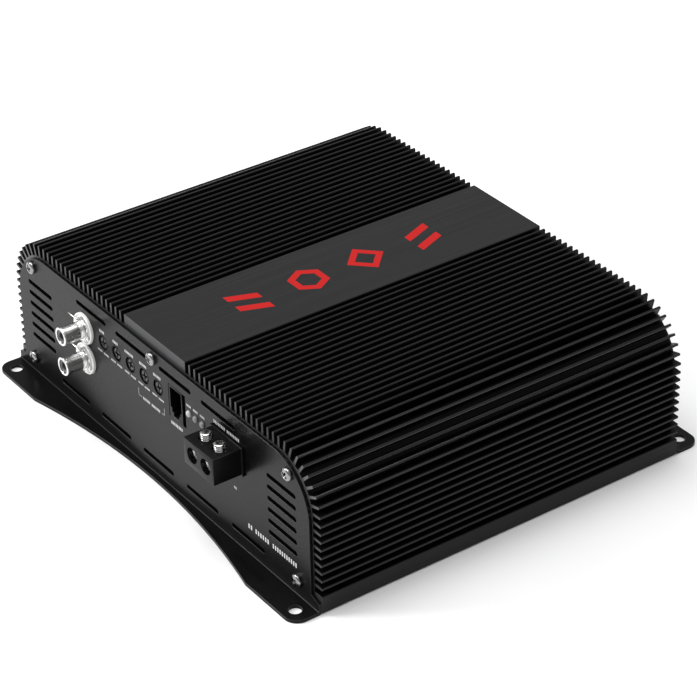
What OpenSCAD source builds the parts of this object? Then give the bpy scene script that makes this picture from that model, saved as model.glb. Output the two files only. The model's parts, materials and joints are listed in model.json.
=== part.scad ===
// Car amplifier: a finned extrusion closed by two flanged end plates and a bottom cover,
// with its boards, wound parts, sockets, trimmers and wire clamps.
// Millimetres. +Z is up, the socket end faces -Y, and the origin is the middle of the footprint.

/* [Heatsink] */
// Width over the side fins
body_w = 230; // [220:1:240]
// Height to the fin tips
body_h = 68; // [66:1:72]
// Length of the extrusion
body_len = 180; // [170:1:220]
// Radius of the fin tip line at the two top corners
corner_r = 26; // [25:0.5:27]
// Depth of the grooves between the fins
fin_h = 5.2; // [4.5:0.1:5.5]
// Distance between neighbouring fins
fin_pitch = 3.66; // [3.4:0.02:3.7]
// Thickness of a fin at its root
fin_root = 1.4; // [1.2:0.1:1.6]
// Thickness of a fin at its tip
fin_tip = 1.1; // [0.8:0.1:1.2]
// Wall under the grooves
wall = 3.2; // [3:0.1:3.6]
// Half width of the flat plateau along the top
plateau_half = 22.9; // [20:0.1:26]
// Height of the plain rail along the foot of each side
rail_h = 8; // [7:0.5:9]

/* [End plates] */
// Thickness of the sheet steel
sheet = 1.5; // [1.2:0.1:1.6]
// Reach of the mounting flange from the plate
flange = 12.2; // [10:0.1:13]
// Reach of the flange at its narrow middle
flange_waist = 2.8; // [2:0.1:5]
// Half distance between the mounting holes across the body
foot_x = 107.8; // [105:0.1:108]
// Diameter of the mounting holes
foot_d = 5.5; // [5:0.1:6.5]

/* [Sockets and controls] */
// Diameter of the front rim of a phono socket
phono_d = 8.3; // [8.2:0.05:8.4]
// Height of the trimmer row
trim_z = 46.5; // [45:0.5:48]
// Distance between two trimmers
trim_pitch = 10.7; // [10.5:0.1:11]
// Diameter of the five trimmer openings
trim_hole = 7.1; // [7:0.1:7.6]
// Bore for a speaker wire
speaker_bore = 7; // [6:0.1:7.2]
// Bore for a supply wire
supply_bore = 9; // [8:0.1:9.5]

/* [Hidden] */
$fn = 48;
eps = 0.01;

// Heatsink section: the corner centre, and radii about it
cx = body_w / 2 - corner_r;
cz = body_h - corner_r;
floor_r = corner_r - fin_h;
pitch_r = corner_r - 4;
inner_r = floor_r - wall;
inner_x = cx + inner_r;
rail_z = 0.6;
fin_first = plateau_half + 3.1;
side_start = cx + pitch_r * PI / 2;
fin_count = floor((side_start + cz - rail_h - 2.6 - fin_first) / fin_pitch) + 1;
foot_in = 96.5;
foot_top = 13;
pilot_r = 1.25;
cover_pilot = 6.2;
board_pilot = 2.8;
clamp_pilot = 2.4;
rebate_x = 104;
rebate_z = 2;

// Bottom cover
cover_t = 1.2;
cover_x = rebate_x - 0.4;
cover_len = body_len - 1;
cover_z = rebate_z - cover_t;
cover_spots = [for (x = [-99, 99], y = [-75, 0, 75]) [x, y]];
cover_sink = [3, 1.7];
cover_head = [2.9, 1.6];
cover_screw_len = 5;

// Faces along the length
end_y = body_len / 2;
face_y = end_y + sheet;

// End plate outline
plate_half = body_w / 2 - 5.4;
plate_top = body_h - 5.5;
plate_r = 23;
flare_top = 6.8;
flare_low = 4.9;
flange_r = 6;
waist_x = 82;
hole_out = 6.3;

// Plate screws: x, z of the five positions
screw_spots = [[-96.5, 56], [96.5, 56], [0, 58.7], [-101, 8.6], [101, 8.6]];
screw_d = 3;
screw_len = 9;
head_d = 5.8;
head_h = 2;
head_dome = 5.2;
boss_r = 3.2;
port_r = 1.35;

// Small screws inside, and the width of every cross recess
shank_r = 1.2;
small_head = [2.6, 1.8];
clear_r = 1.6;
recess_w = 0.7;

// Vent slots
slot_w = 2.2;
side_slots = 6;
side_slot_pitch = 5.36;
side_slot_top = 47.4;
side_slot_in = 81.4;
side_slot_out = 101;
top_slot_z = 56.8;
top_slots = [[5, 28.4], [36, 59.8]];
low_slot_z = 8.4;
low_slot_pitch = 33.2;
low_slot_len = 23.4;

// Phono sockets
phono_x = -53.8;
phono_z = [46.6, 31.9];
phono_out = 12;
disc_r = 7.1;
disc_t = 1.5;
disc_floor = 0.9;
disc_dish_r = 6.35;
lug_t = 0.4;
lug_r = 4.8;
lug_up = 5.4;
eye_r = 1.5;
prong_len = 5;
prong_t = 0.6;
nut_t = 1.4;
nut_across = 10.5;
thread_r = 3.9;
thread_gap = 0.05;
thread_out = 4;
barrel_r = 3.67;
rim_len = 1.2;
insert_r = 2.9;
insert_in = 0.3;
contact_r = 1.9;
contact_in = 0.8;
contact_bore = 1.6;
socket_end = 8.5;

// Trimmers
trims = [for (i = [0:4]) -39.3 + i * trim_pitch];
knob_r = trim_hole / 2 - 0.35;
shaft_r = 1.5;
shaft_len = 2.4;
shaft_gap = 0.4;
pot_size = 9.4;
pot_depth = 6;
knob_face = 0.3;
knob_t = 2.4;
knob_gap = 0.3;
knob_slot = 1;
knob_cross = 2.4;
knob_cut = 1.2;

// Remote jack
jack_x = 17.65;
jack_z = 45.2;
jack_w = 12.5;
jack_h = 15.4;
jack_body_x = 16.7;
jack_body_w = 9.8;
jack_depth = 15;
jack_fit = 0.15;
socket_w = 8.2;
socket_h = 9.6;
socket_top = 52;
socket_deep = 12;
key_steps = [[6.2, 2], [3.8, 1.7]];
contact_count = 4;
contact_pitch = 1.02;
contact_w = 0.5;
contact_len = 8;

// Status lights
led_x = [26.4, 31.3, 36.3];
led_z = 46;
led_r = 1.5;
led_out = 1.3;
led_body = 4.5;
led_legs = 0.8;
led_leg_t = 0.5;

// Wire clamps. A clamp is [place across, radius of its wire bore, radius of its screw].
clamp_out = 13.8;
clamp_in = 9;
clamp_front = 2.5;
clamp_wall = 1.1;
clamp_floor = 0.9;
clamp_roof = 1.3;
clamp_step = 0.6;
tail = [4, 1];
base_t = 1.1;
base_lip = 0.7;
speaker_x = 54.75;
speaker_z = 44.4;
speaker_size = [21, 12];
speaker_clamps = [[50, speaker_bore / 2, 2.35], [59.5, speaker_bore / 2, 2.35]];
supply_x = 0;
supply_z = 40;
supply_size = [38, 15];
supply_clamps = [[-12, supply_bore / 2, 2.9], [3.5, supply_bore / 2, 2.9], [14.3, 2, 1.5]];
screw_y = 7;
screw_proud = 2.5;
well_gap = 0.85;
pad_t = 0.7;
pad_gap = 0.35;
pin_r = 0.6;
pin_h = 1.2;
pad_clear = 0.05;
slot_cut = [0.8, 1];

// Boards
board_x = 104;
board_y = 84;
board_t = 1.6;
board_top = foot_top + board_t;
board_spots = [for (x = [-100, 100], y = [-60, 0, 60]) [x, y]];
board_bite = 2.6;
control_y = -face_y + knob_face + knob_t + knob_gap + pot_depth;
control_x = [-64, 42];
control_top = 54.5;

// Parts on the main board
toroid_spots = [[-58, 30], [-58, -18]];
toroid_size = [8, 17, 16];
choke_spots = [[52, -30]];
choke_size = [7, 15, 14];
winding_t = 2;
winding_gap = 0.1;
winding_break = 4;
supply_can = [8, 32];
supply_can_spots = [for (x = [-18:18:18], y = [50, 70]) [x, y]];
rail_can = [11, 35];
rail_can_spots = [for (x = [0:25:75]) [x, 14]];
film_size = [16, 7, 13];
film_spots = [for (x = [-12, 12], y = [-58, -42, -26]) [x, y]];
chip_size = [10, 6.4, 3.4];
chip_spots = [for (x = [56, 74], y = [46, 62]) [x, y]];

// Power transistors along the side walls
transistor_w = 10;
transistor_h = 15;
transistor_t = 4.4;
transistor_z = 20;
transistor_pitch = 15.5;
transistor_rows = 9;
transistor_y0 = -transistor_pitch * (transistor_rows - 1) / 2;
transistor_x = inner_x - 0.3;
strip_t = inner_x - transistor_x;
leg_x = 94;
leg_t = 0.6;
leg_out = transistor_x - transistor_t / 2 + leg_t / 2;
leg_drop = 2.5;
leg_pitch = 2.54;
bar_z = 27;
bar_h = 7;
bar_t = 1.5;
bar_x = transistor_x - transistor_t - bar_t;
clamp_len = 8.2;
strip_over = [8, 1];
bar_over = 6;
bar_hole_r = 1.5;
clamp_ys = [for (i = [0.5, 2.5, 5.5, 7.5]) transistor_y0 + i * transistor_pitch];

// A point of the section: s runs from the centre line over the corner and down the side,
// and r is the radius about the corner centre.
function along(s, r) =
    s <= cx ? [s, cz + r] :
    s <= side_start ? [cx + r * sin(turn(s)), cz + r * cos(turn(s))] :
    [cx + r, cz - (s - side_start)];
function turn(s) = (s - cx) / pitch_r * 180 / PI;
function heading(s) = s <= cx ? [1, 0] : s <= side_start ? [cos(turn(s)), -sin(turn(s))] : [0, -1];
function fin(s) = [
    along(s, floor_r) - heading(s) * fin_root / 2,
    along(s, corner_r) - heading(s) * fin_tip / 2,
    along(s, corner_r) + heading(s) * fin_tip / 2,
    along(s, floor_r) + heading(s) * fin_root / 2];
function half_outside() = concat(
    [[plateau_half, body_h], [plateau_half, cz + floor_r]],
    [for (i = [0:fin_count - 1]) each fin(fin_first + i * fin_pitch)],
    [[cx + floor_r, rail_h], [body_w / 2, rail_h], [body_w / 2, rail_z], [rebate_x, rail_z],
        [rebate_x, rebate_z], [foot_in, rebate_z], [foot_in, foot_top], [inner_x, foot_top]]);
function half_inside() = [for (a = [90:-6:0]) [cx + inner_r * sin(a), cz + inner_r * cos(a)]];
function flip(points) = [for (i = [len(points) - 1:-1:0]) [-points[i][0], points[i][1]]];
function half_section() = concat(half_outside(), half_inside());

module heatsink() {
    color([0.1, 0.1, 0.1])
    difference() {
        union() {
            lengthwise(-end_y, body_len) polygon(concat(half_section(), flip(half_section())));
            for (p = screw_spots) along_y(p[0], -end_y, p[1], body_len, boss_r);
        }
        for (p = screw_spots) along_y(p[0], -end_y - eps, p[1], body_len + 2 * eps, port_r);
        for (p = cover_spots) translate([p[0], p[1], -eps]) cylinder(r = pilot_r, h = cover_pilot);
        for (p = board_spots) translate([p[0], p[1], foot_top - board_pilot])
            cylinder(r = pilot_r, h = board_pilot + eps);
        for (s = [-1, 1], y = clamp_ys)
            translate([s * (inner_x - eps), y, bar_z]) rotate([0, s * 90, 0])
                cylinder(r = pilot_r, h = clamp_pilot);
    }
}

// Extrudes a section drawn in X and Z along Y, from y0
module lengthwise(y0, length) {
    translate([0, y0 + length, 0]) rotate([90, 0, 0]) linear_extrude(length) children();
}

// A cylinder along Y that starts at y
module along_y(x, y, z, length, r) {
    translate([x, y + length, z]) rotate([90, 0, 0]) cylinder(r = r, h = length);
}

// A slot with round ends, from x0 to x1, cut along Y
module vent(x0, x1, z, y, length) {
    translate([x0 + slot_w / 2, y, z - slot_w / 2]) cube([x1 - x0 - slot_w, length, slot_w]);
    along_y(x0 + slot_w / 2, y, z, length, slot_w / 2);
    along_y(x1 - slot_w / 2, y, z, length, slot_w / 2);
}

function plate_corner() = [for (a = [0:6:90])
    [plate_half - plate_r + plate_r * cos(a), plate_top - plate_r + plate_r * sin(a)]];
function plate_half_outline() = concat(
    [[body_w / 2, 0], [body_w / 2, flare_low], [plate_half, flare_top]], plate_corner());

// The flange in plan, seen with Y pointing away from the body: straight ends and a hollow front
function waist(x) = flange_waist + (flange - flange_waist) * pow(x / waist_x, 2);
function flange_half_outline() = concat(
    [for (x = [0:waist_x / 12:waist_x]) [x, waist(x)]],
    [for (a = [90:-15:0]) [body_w / 2 - flange_r + flange_r * cos(a), flange - flange_r + flange_r * sin(a)]],
    [[body_w / 2, -eps]]);

// One end plate at -Y: the upright sheet and its bent foot
module end_sheet() {
    lengthwise(-face_y, sheet) polygon(concat(plate_half_outline(), flip(plate_half_outline())));
    translate([0, -face_y, 0]) mirror([0, 1, 0]) linear_extrude(sheet)
        polygon(concat(flange_half_outline(), flip(flange_half_outline())));
}

module sheet_cuts() {
    through = sheet + 2 * eps;
    y = -face_y - eps;
    for (s = [-1, 1]) translate([s * foot_x, -face_y - hole_out, -eps]) cylinder(d = foot_d, h = through);
    for (p = screw_spots) along_y(p[0], y, p[1], through, screw_d / 2 + 0.2);
    for (i = [0:side_slots - 1]) {
        vent(side_slot_in, side_slot_out, side_slot_top - i * side_slot_pitch, y, through);
        vent(-side_slot_out, -side_slot_in, side_slot_top - i * side_slot_pitch, y, through);
    }
    for (t = top_slots) {
        vent(t[0], t[1], top_slot_z, y, through);
        vent(-t[1], -t[0], top_slot_z, y, through);
    }
    for (i = [-2:2])
        vent(i * low_slot_pitch - low_slot_len / 2, i * low_slot_pitch + low_slot_len / 2,
            low_slot_z, y, through);
}

// A window cut in the sheet at -Y, given by its centre and size
module window(x, z, w, h) {
    translate([x - w / 2, -face_y - eps, z - h / 2]) cube([w, sheet + 2 * eps, h]);
}

module front_plate() {
    color([0.16, 0.16, 0.16])
    difference() {
        end_sheet();
        sheet_cuts();
        for (x = trims) along_y(x, -face_y - eps, trim_z, sheet + 2 * eps, trim_hole / 2);
        for (x = led_x) along_y(x, -face_y - eps, led_z, sheet + 2 * eps, led_r + 0.1);
        for (z = phono_z) along_y(phono_x, -face_y - eps, z, sheet + 2 * eps, thread_r + 0.1);
        window(jack_x, jack_z, jack_w, jack_h);
        window(speaker_x, speaker_z, speaker_size[0] - 1, speaker_size[1] - 1);
    }
}

module rear_plate() {
    color([0.16, 0.16, 0.16])
    rotate([0, 0, 180])
    difference() {
        end_sheet();
        sheet_cuts();
        window(supply_x, supply_z, supply_size[0] - 1, supply_size[1] - 1);
    }
}

module bottom_cover() {
    color([0.14, 0.14, 0.14])
    difference() {
        translate([-cover_x, -cover_len / 2, cover_z]) cube([2 * cover_x, cover_len, cover_t]);
        for (p = cover_spots) translate([p[0], p[1], cover_z - eps])
            cylinder(r1 = cover_sink[0], r2 = cover_sink[1], h = cover_t + 2 * eps);
    }
}

module cover_screws() {
    color([0.3, 0.3, 0.3])
    for (p = cover_spots) translate([p[0], p[1], cover_z]) difference() {
        union() {
            cylinder(r1 = cover_head[0], r2 = cover_head[1], h = cover_t);
            cylinder(r = shank_r, h = cover_screw_len);
        }
        cross_recess(1.7, 0.8);
    }
}

// A Phillips recess, sunk from z = 0 upwards
module cross_recess(size, depth) {
    for (a = [0, 90]) rotate([0, 0, a])
        translate([-size, -recess_w / 2, -eps]) cube([2 * size, recess_w, depth + eps]);
}

// A pan head screw whose head stands on z = 0 and whose shank runs down
module pan_screw(shank) {
    difference() {
        union() {
            intersection() {
                cylinder(d = head_d, h = head_h);
                translate([0, 0, head_h - head_dome]) sphere(r = head_dome);
            }
            translate([0, 0, -shank]) cylinder(d = screw_d - 0.4, h = shank + eps);
        }
        translate([0, 0, head_h]) mirror([0, 0, 1]) cross_recess(1.5, 1.2);
    }
}

module plate_screws() {
    color([0.85, 0.85, 0.85])
    for (p = screw_spots) translate([p[0], -face_y, p[1]]) rotate([90, 0, 0]) pan_screw(screw_len);
}

module front_plate_screws() {
    plate_screws();
}

module rear_plate_screws() {
    rotate([0, 0, 180]) plate_screws();
}

// A ring along Y that starts at y
module ring_y(x, y, z, length, r, bore) {
    difference() {
        along_y(x, y, z, length, r);
        along_y(x, y - eps, z, length + 2 * eps, bore);
    }
}

module phono_flanges() {
    color([0.8, 0.8, 0.8])
    for (z = phono_z) {
        ring_y(phono_x, -face_y - disc_floor, z, disc_floor, disc_r, thread_r + thread_gap);
        ring_y(phono_x, -face_y - disc_t, z, disc_t - disc_floor, disc_r, disc_dish_r);
    }
}

// The earth tag: a ring in front of the nut with an eye over the thread and a wire prong
module phono_lugs() {
    y = -face_y - disc_floor - nut_t - lug_t;
    color([0.8, 0.8, 0.8])
    for (z = phono_z) difference() {
        union() {
            along_y(phono_x, y, z, lug_t, lug_r);
            along_y(phono_x, y, z + lug_up, lug_t, eye_r);
            translate([phono_x - prong_len, y, z + lug_up + eye_r - prong_t])
                cube([prong_len, lug_t, prong_t]);
        }
        along_y(phono_x, y - eps, z, lug_t + 2 * eps, thread_r + thread_gap);
    }
}

module phono_nuts() {
    y = -face_y - disc_floor - nut_t;
    color([0.8, 0.8, 0.8])
    for (z = phono_z) difference() {
        translate([phono_x, y + nut_t, z]) rotate([90, 30, 0])
            cylinder(r = nut_across / sqrt(3), h = nut_t, $fn = 6);
        along_y(phono_x, y - eps, z, nut_t + 2 * eps, thread_r + thread_gap);
    }
}

module phono_shells() {
    front = -face_y - phono_out;
    color([0.8, 0.8, 0.8])
    for (z = phono_z) difference() {
        union() {
            along_y(phono_x, front, z, rim_len, phono_d / 2);
            along_y(phono_x, front + rim_len - eps, z, phono_out - thread_out - rim_len + 2 * eps, barrel_r);
            along_y(phono_x, -face_y - thread_out, z, thread_out + socket_end, thread_r);
        }
        along_y(phono_x, front - eps, z, phono_out + socket_end + 2 * eps, insert_r);
    }
}

module phono_inserts() {
    color([0.5, 0.5, 0.5])
    for (z = phono_z)
        ring_y(phono_x, -face_y - phono_out + insert_in, z, phono_out + socket_end - insert_in,
            insert_r, contact_r);
}

module phono_contacts() {
    color([0.75, 0.65, 0.3])
    for (z = phono_z) difference() {
        along_y(phono_x, -face_y - phono_out + contact_in, z, control_y + face_y + phono_out - contact_in,
            contact_r);
        along_y(phono_x, -face_y - phono_out, z, phono_out + 2, contact_bore);
    }
}

module trimmer_bodies() {
    front = control_y - pot_depth;
    color([0.1, 0.2, 0.4])
    for (x = trims) difference() {
        translate([x - pot_size / 2, front, trim_z - pot_size / 2]) cube([pot_size, pot_depth, pot_size]);
        along_y(x, front - eps, trim_z, shaft_len + shaft_gap, shaft_r + thread_gap);
    }
}

// One trimmer knob: a disc with a cross recess on a shaft that runs back into the potentiometer
module trimmer_knob(x) {
    front = -face_y + knob_face;
    color([0.12, 0.12, 0.12])
    difference() {
        union() {
            along_y(x, front, trim_z, knob_t, knob_r);
            along_y(x, front + knob_t - eps, trim_z, knob_gap + shaft_len, shaft_r);
        }
        for (a = [45, 135]) translate([x, front - eps, trim_z]) rotate([0, a, 0])
            translate([-knob_cross, 0, -knob_slot / 2]) cube([2 * knob_cross, knob_cut, knob_slot]);
    }
}

module trimmer_knob_1() {
    trimmer_knob(trims[0]);
}

module trimmer_knob_2() {
    trimmer_knob(trims[1]);
}

module trimmer_knob_3() {
    trimmer_knob(trims[2]);
}

module trimmer_knob_4() {
    trimmer_knob(trims[3]);
}

module trimmer_knob_5() {
    trimmer_knob(trims[4]);
}

// A box centred across X that hangs from its top, starting at y
module hung_box(x, y, top, size) {
    translate([x - size[0] / 2, y, top - size[2]]) cube(size);
}

module remote_jack() {
    top = jack_z + jack_h / 2 - jack_fit;
    front = -face_y - eps;
    color([0.08, 0.08, 0.08])
    difference() {
        hung_box(jack_body_x, -face_y, top, [jack_body_w, jack_depth, jack_h - 2 * jack_fit]);
        hung_box(jack_body_x, front, socket_top, [socket_w, socket_deep, socket_h]);
        hung_box(jack_body_x, front, socket_top - socket_h + eps,
            [key_steps[0][0], socket_deep, key_steps[0][1]]);
        hung_box(jack_body_x, front, socket_top - socket_h - key_steps[0][1] + 2 * eps,
            [key_steps[1][0], socket_deep, key_steps[1][1]]);
    }
}

module remote_jack_contacts() {
    y = -face_y + socket_deep - contact_len;
    color([0.8, 0.65, 0.3])
    for (i = [0:contact_count - 1]) hung_box(jack_body_x + (i - (contact_count - 1) / 2) * contact_pitch,
        y, socket_top, [contact_w, contact_len, contact_w]);
}

module status_leds() {
    front = -face_y - led_out;
    color([0.7, 0.8, 0.9])
    for (x = led_x) {
        translate([x, front + led_r, led_z]) sphere(r = led_r);
        along_y(x, front + led_r, led_z, led_body, led_r);
        for (s = [-led_legs, led_legs])
            translate([x + s - led_leg_t / 2, front + led_r + led_body - eps, led_z - led_leg_t / 2])
                cube([led_leg_t, control_y - front - led_r - led_body + eps, led_leg_t]);
    }
}

// Metal block of a clamp: its width, and the heights of its top and foot over the wire's axis
function block_w(clamp) = 2 * clamp[1] + 2 * clamp_wall;
function block_up(size) = size[1] / 2 - clamp_roof;

module clamp_housing(x, z, size, clamps) {
    difference() {
        union() {
            translate([x - size[0] / 2, -face_y - clamp_out, z - size[1] / 2])
                cube([size[0], clamp_out, size[1]]);
            translate([x - size[0] / 2 - base_lip, -face_y - base_t, z - size[1] / 2 - base_lip])
                cube([size[0] + 2 * base_lip, base_t, size[1] + 2 * base_lip]);
            translate([x - size[0] / 2 + clamp_step, -face_y - eps, z - size[1] / 2 + clamp_step])
                cube([size[0] - 2 * clamp_step, clamp_in + eps, size[1] - 2 * clamp_step]);
        }
        for (c = clamps) {
            along_y(c[0], -face_y - clamp_out - eps, z, 2 * clamp_front, c[1]);
            translate([c[0] - block_w(c) / 2, -face_y - clamp_out + clamp_front, z - c[1] - clamp_floor])
                cube([block_w(c), clamp_out + clamp_in, c[1] + clamp_floor + block_up(size)]);
            translate([c[0], -face_y - screw_y, z]) cylinder(r = c[2] + well_gap, h = size[1]);
        }
    }
}

module clamp_blocks(x, z, size, clamps) {
    for (c = clamps) difference() {
        translate([c[0] - block_w(c) / 2, -face_y - clamp_out + clamp_front, z - c[1] - clamp_floor])
            cube([block_w(c), clamp_out + clamp_in - clamp_front, c[1] + clamp_floor + block_up(size)]);
        along_y(c[0], -face_y - clamp_out, z, clamp_out + clamp_in - 1, c[1]);
        translate([c[0], -face_y - screw_y, z]) cylinder(r = c[2] + thread_gap, h = size[1]);
    }
}

// A strip from the back of each metal block down to the main board
module clamp_tails(z, size, clamps) {
    for (c = clamps) translate([c[0] - tail[0] / 2, -face_y + clamp_in, board_top])
        cube([tail[0], tail[1], z + block_up(size) - board_top]);
}

// Height of a clamp's pressure pad when the clamp stands open: just clear of the wire bore
function pad_low(z, clamp) = z + clamp[1] + pad_clear;

module clamp_screw(z, size, clamp) {
    low = pad_low(z, clamp) + pad_t + pin_h / 4;
    top = z + size[1] / 2 + screw_proud;
    translate([clamp[0], -face_y - screw_y, 0]) difference() {
        translate([0, 0, low]) cylinder(r = clamp[2], h = top - low);
        translate([0, 0, low - eps]) cylinder(r = pin_r + thread_gap, h = pin_h);
        translate([-clamp[2], -slot_cut[0] / 2, top - slot_cut[1]])
            cube([2 * clamp[2], slot_cut[0], slot_cut[1] + eps]);
    }
}

module clamp_pad(z, clamp) {
    low = pad_low(z, clamp);
    translate([clamp[0], -face_y - screw_y, low]) {
        cylinder(r = clamp[2] - pad_gap, h = pad_t);
        cylinder(r = pin_r, h = pad_t + pin_h);
    }
}

module speaker_terminal() {
    color([0.12, 0.12, 0.12]) clamp_housing(speaker_x, speaker_z, speaker_size, speaker_clamps);
}

module speaker_blocks() {
    color([0.8, 0.8, 0.8]) clamp_blocks(speaker_x, speaker_z, speaker_size, speaker_clamps);
}

module speaker_screw_1() {
    color([0.8, 0.8, 0.8]) clamp_screw(speaker_z, speaker_size, speaker_clamps[0]);
}

module speaker_pad_1() {
    color([0.8, 0.8, 0.8]) clamp_pad(speaker_z, speaker_clamps[0]);
}

module speaker_screw_2() {
    color([0.8, 0.8, 0.8]) clamp_screw(speaker_z, speaker_size, speaker_clamps[1]);
}

module speaker_pad_2() {
    color([0.8, 0.8, 0.8]) clamp_pad(speaker_z, speaker_clamps[1]);
}

module supply_terminal() {
    color([0.12, 0.12, 0.12])
    rotate([0, 0, 180]) clamp_housing(supply_x, supply_z, supply_size, supply_clamps);
}

module supply_blocks() {
    color([0.8, 0.8, 0.8]) rotate([0, 0, 180]) clamp_blocks(supply_x, supply_z, supply_size, supply_clamps);
}

module supply_screw_1() {
    color([0.8, 0.8, 0.8]) rotate([0, 0, 180]) clamp_screw(supply_z, supply_size, supply_clamps[0]);
}

module supply_pad_1() {
    color([0.8, 0.8, 0.8]) rotate([0, 0, 180]) clamp_pad(supply_z, supply_clamps[0]);
}

module supply_screw_2() {
    color([0.8, 0.8, 0.8]) rotate([0, 0, 180]) clamp_screw(supply_z, supply_size, supply_clamps[1]);
}

module supply_pad_2() {
    color([0.8, 0.8, 0.8]) rotate([0, 0, 180]) clamp_pad(supply_z, supply_clamps[1]);
}

module supply_screw_3() {
    color([0.8, 0.8, 0.8]) rotate([0, 0, 180]) clamp_screw(supply_z, supply_size, supply_clamps[2]);
}

module supply_pad_3() {
    color([0.8, 0.8, 0.8]) rotate([0, 0, 180]) clamp_pad(supply_z, supply_clamps[2]);
}

module bus_tabs() {
    color([0.75, 0.45, 0.25]) {
        clamp_tails(speaker_z, speaker_size, speaker_clamps);
        rotate([0, 0, 180]) clamp_tails(supply_z, supply_size, supply_clamps);
    }
}

module main_board() {
    color([0.05, 0.35, 0.15])
    difference() {
        translate([-board_x, -board_y, foot_top]) cube([2 * board_x, 2 * board_y, board_t]);
        for (p = board_spots) translate([p[0], p[1], foot_top - eps])
            cylinder(r = clear_r, h = board_t + 2 * eps);
    }
}

module board_screws() {
    color([0.8, 0.8, 0.8])
    for (p = board_spots) translate([p[0], p[1], board_top]) {
        cylinder(r = small_head[0], h = small_head[1]);
        translate([0, 0, -board_t - board_bite]) cylinder(r = shank_r, h = board_t + board_bite + eps);
    }
}

module control_board() {
    color([0.05, 0.35, 0.15])
    difference() {
        translate([control_x[0], control_y, board_top])
            cube([control_x[1] - control_x[0], board_t, control_top - board_top]);
        translate([jack_x - jack_w / 2, control_y - eps, jack_z - jack_h / 2])
            cube([jack_w, board_t + 2 * eps, control_top]);
    }
}

// A flat-wound ring on the board: size is [bore radius, outer radius, height]
module ring_core(spot, size) {
    translate([spot[0], spot[1], board_top + winding_t]) difference() {
        cylinder(r = size[1], h = size[2]);
        translate([0, 0, -eps]) cylinder(r = size[0], h = size[2] + 2 * eps);
    }
}

module ring_winding(spot, size) {
    translate([spot[0], spot[1], board_top]) difference() {
        cylinder(r = size[1] + winding_t, h = size[2] + 2 * winding_t);
        translate([0, 0, -eps]) cylinder(r = size[0] - winding_t, h = size[2] + 2 * winding_t + 2 * eps);
        translate([0, 0, winding_t]) difference() {
            cylinder(r = size[1] + winding_gap, h = size[2]);
            translate([0, 0, -eps]) cylinder(r = size[0] - winding_gap, h = size[2] + 2 * eps);
        }
        translate([0, -winding_break / 2, -eps])
            cube([size[1] + 2 * winding_t, winding_break, size[2] + 2 * winding_t + 2 * eps]);
    }
}

module transformer_cores() {
    color([0.25, 0.25, 0.27]) for (p = toroid_spots) ring_core(p, toroid_size);
}

module transformer_windings() {
    color([0.7, 0.4, 0.2]) for (p = toroid_spots) ring_winding(p, toroid_size);
}

module output_choke_core() {
    color([0.25, 0.25, 0.27]) for (p = choke_spots) ring_core(p, choke_size);
}

module output_choke_winding() {
    color([0.7, 0.4, 0.2]) for (p = choke_spots) ring_winding(p, choke_size);
}

// Upright cans on the board: can is [radius, height]
module cans(spots, can) {
    for (p = spots) translate([p[0], p[1], board_top]) cylinder(r = can[0], h = can[1]);
}

// Boxes on the board
module board_boxes(spots, size) {
    for (p = spots) translate([p[0] - size[0] / 2, p[1] - size[1] / 2, board_top]) cube(size);
}

module supply_capacitors() {
    color([0.1, 0.1, 0.25]) cans(supply_can_spots, supply_can);
}

module rail_capacitors() {
    color([0.1, 0.1, 0.12]) cans(rail_can_spots, rail_can);
}

module film_capacitors() {
    color([0.7, 0.2, 0.1]) board_boxes(film_spots, film_size);
}

module driver_chips() {
    color([0.1, 0.1, 0.1]) board_boxes(chip_spots, chip_size);
}

// Shape of a transistor seen from the end: its body by the wall, and a leg bent in to the board
module transistor_row() {
    knee = transistor_z - leg_drop;
    color([0.1, 0.1, 0.1])
    for (i = [0:transistor_rows - 1]) translate([0, transistor_y0 + i * transistor_pitch, 0]) {
        translate([transistor_x - transistor_t, -transistor_w / 2, transistor_z])
            cube([transistor_t, transistor_w, transistor_h]);
        for (k = [-1:1]) translate([0, k * leg_pitch - leg_t / 2, 0]) {
            translate([leg_out - leg_t, 0, knee]) cube([leg_t, leg_t, leg_drop + eps]);
            translate([leg_x, 0, knee]) cube([leg_out - leg_x, leg_t, leg_t]);
            translate([leg_x, 0, board_top]) cube([leg_t, leg_t, knee - board_top + eps]);
        }
    }
}

module switch_transistors() {
    mirror([1, 0, 0]) transistor_row();
}

module output_transistors() {
    transistor_row();
}

module insulator_strips() {
    color([0.75, 0.75, 0.78])
    for (s = [0, 1]) mirror([s, 0, 0]) difference() {
        translate([transistor_x, transistor_y0 - strip_over[0], transistor_z - strip_over[1]])
            cube([strip_t, 2 * (strip_over[0] - transistor_y0), transistor_h + 2 * strip_over[1]]);
        for (y = clamp_ys) translate([transistor_x - eps, y, bar_z]) rotate([0, 90, 0])
            cylinder(r = bar_hole_r, h = strip_t + 2 * eps);
    }
}

module clamp_bars() {
    color([0.6, 0.6, 0.6])
    for (s = [0, 1]) mirror([s, 0, 0]) difference() {
        translate([bar_x, transistor_y0 - bar_over, bar_z - bar_h / 2])
            cube([bar_t, 2 * (bar_over - transistor_y0), bar_h]);
        for (y = clamp_ys) translate([bar_x - eps, y, bar_z]) rotate([0, 90, 0])
            cylinder(r = bar_hole_r, h = bar_t + 2 * eps);
    }
}

module clamp_screws() {
    color([0.8, 0.8, 0.8])
    for (s = [0, 1], y = clamp_ys) mirror([s, 0, 0])
        translate([bar_x, y, bar_z]) rotate([0, 90, 0]) {
            translate([0, 0, -small_head[1]]) cylinder(r = small_head[0], h = small_head[1]);
            translate([0, 0, -eps]) cylinder(r = shank_r, h = clamp_len + eps);
        }
}

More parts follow.
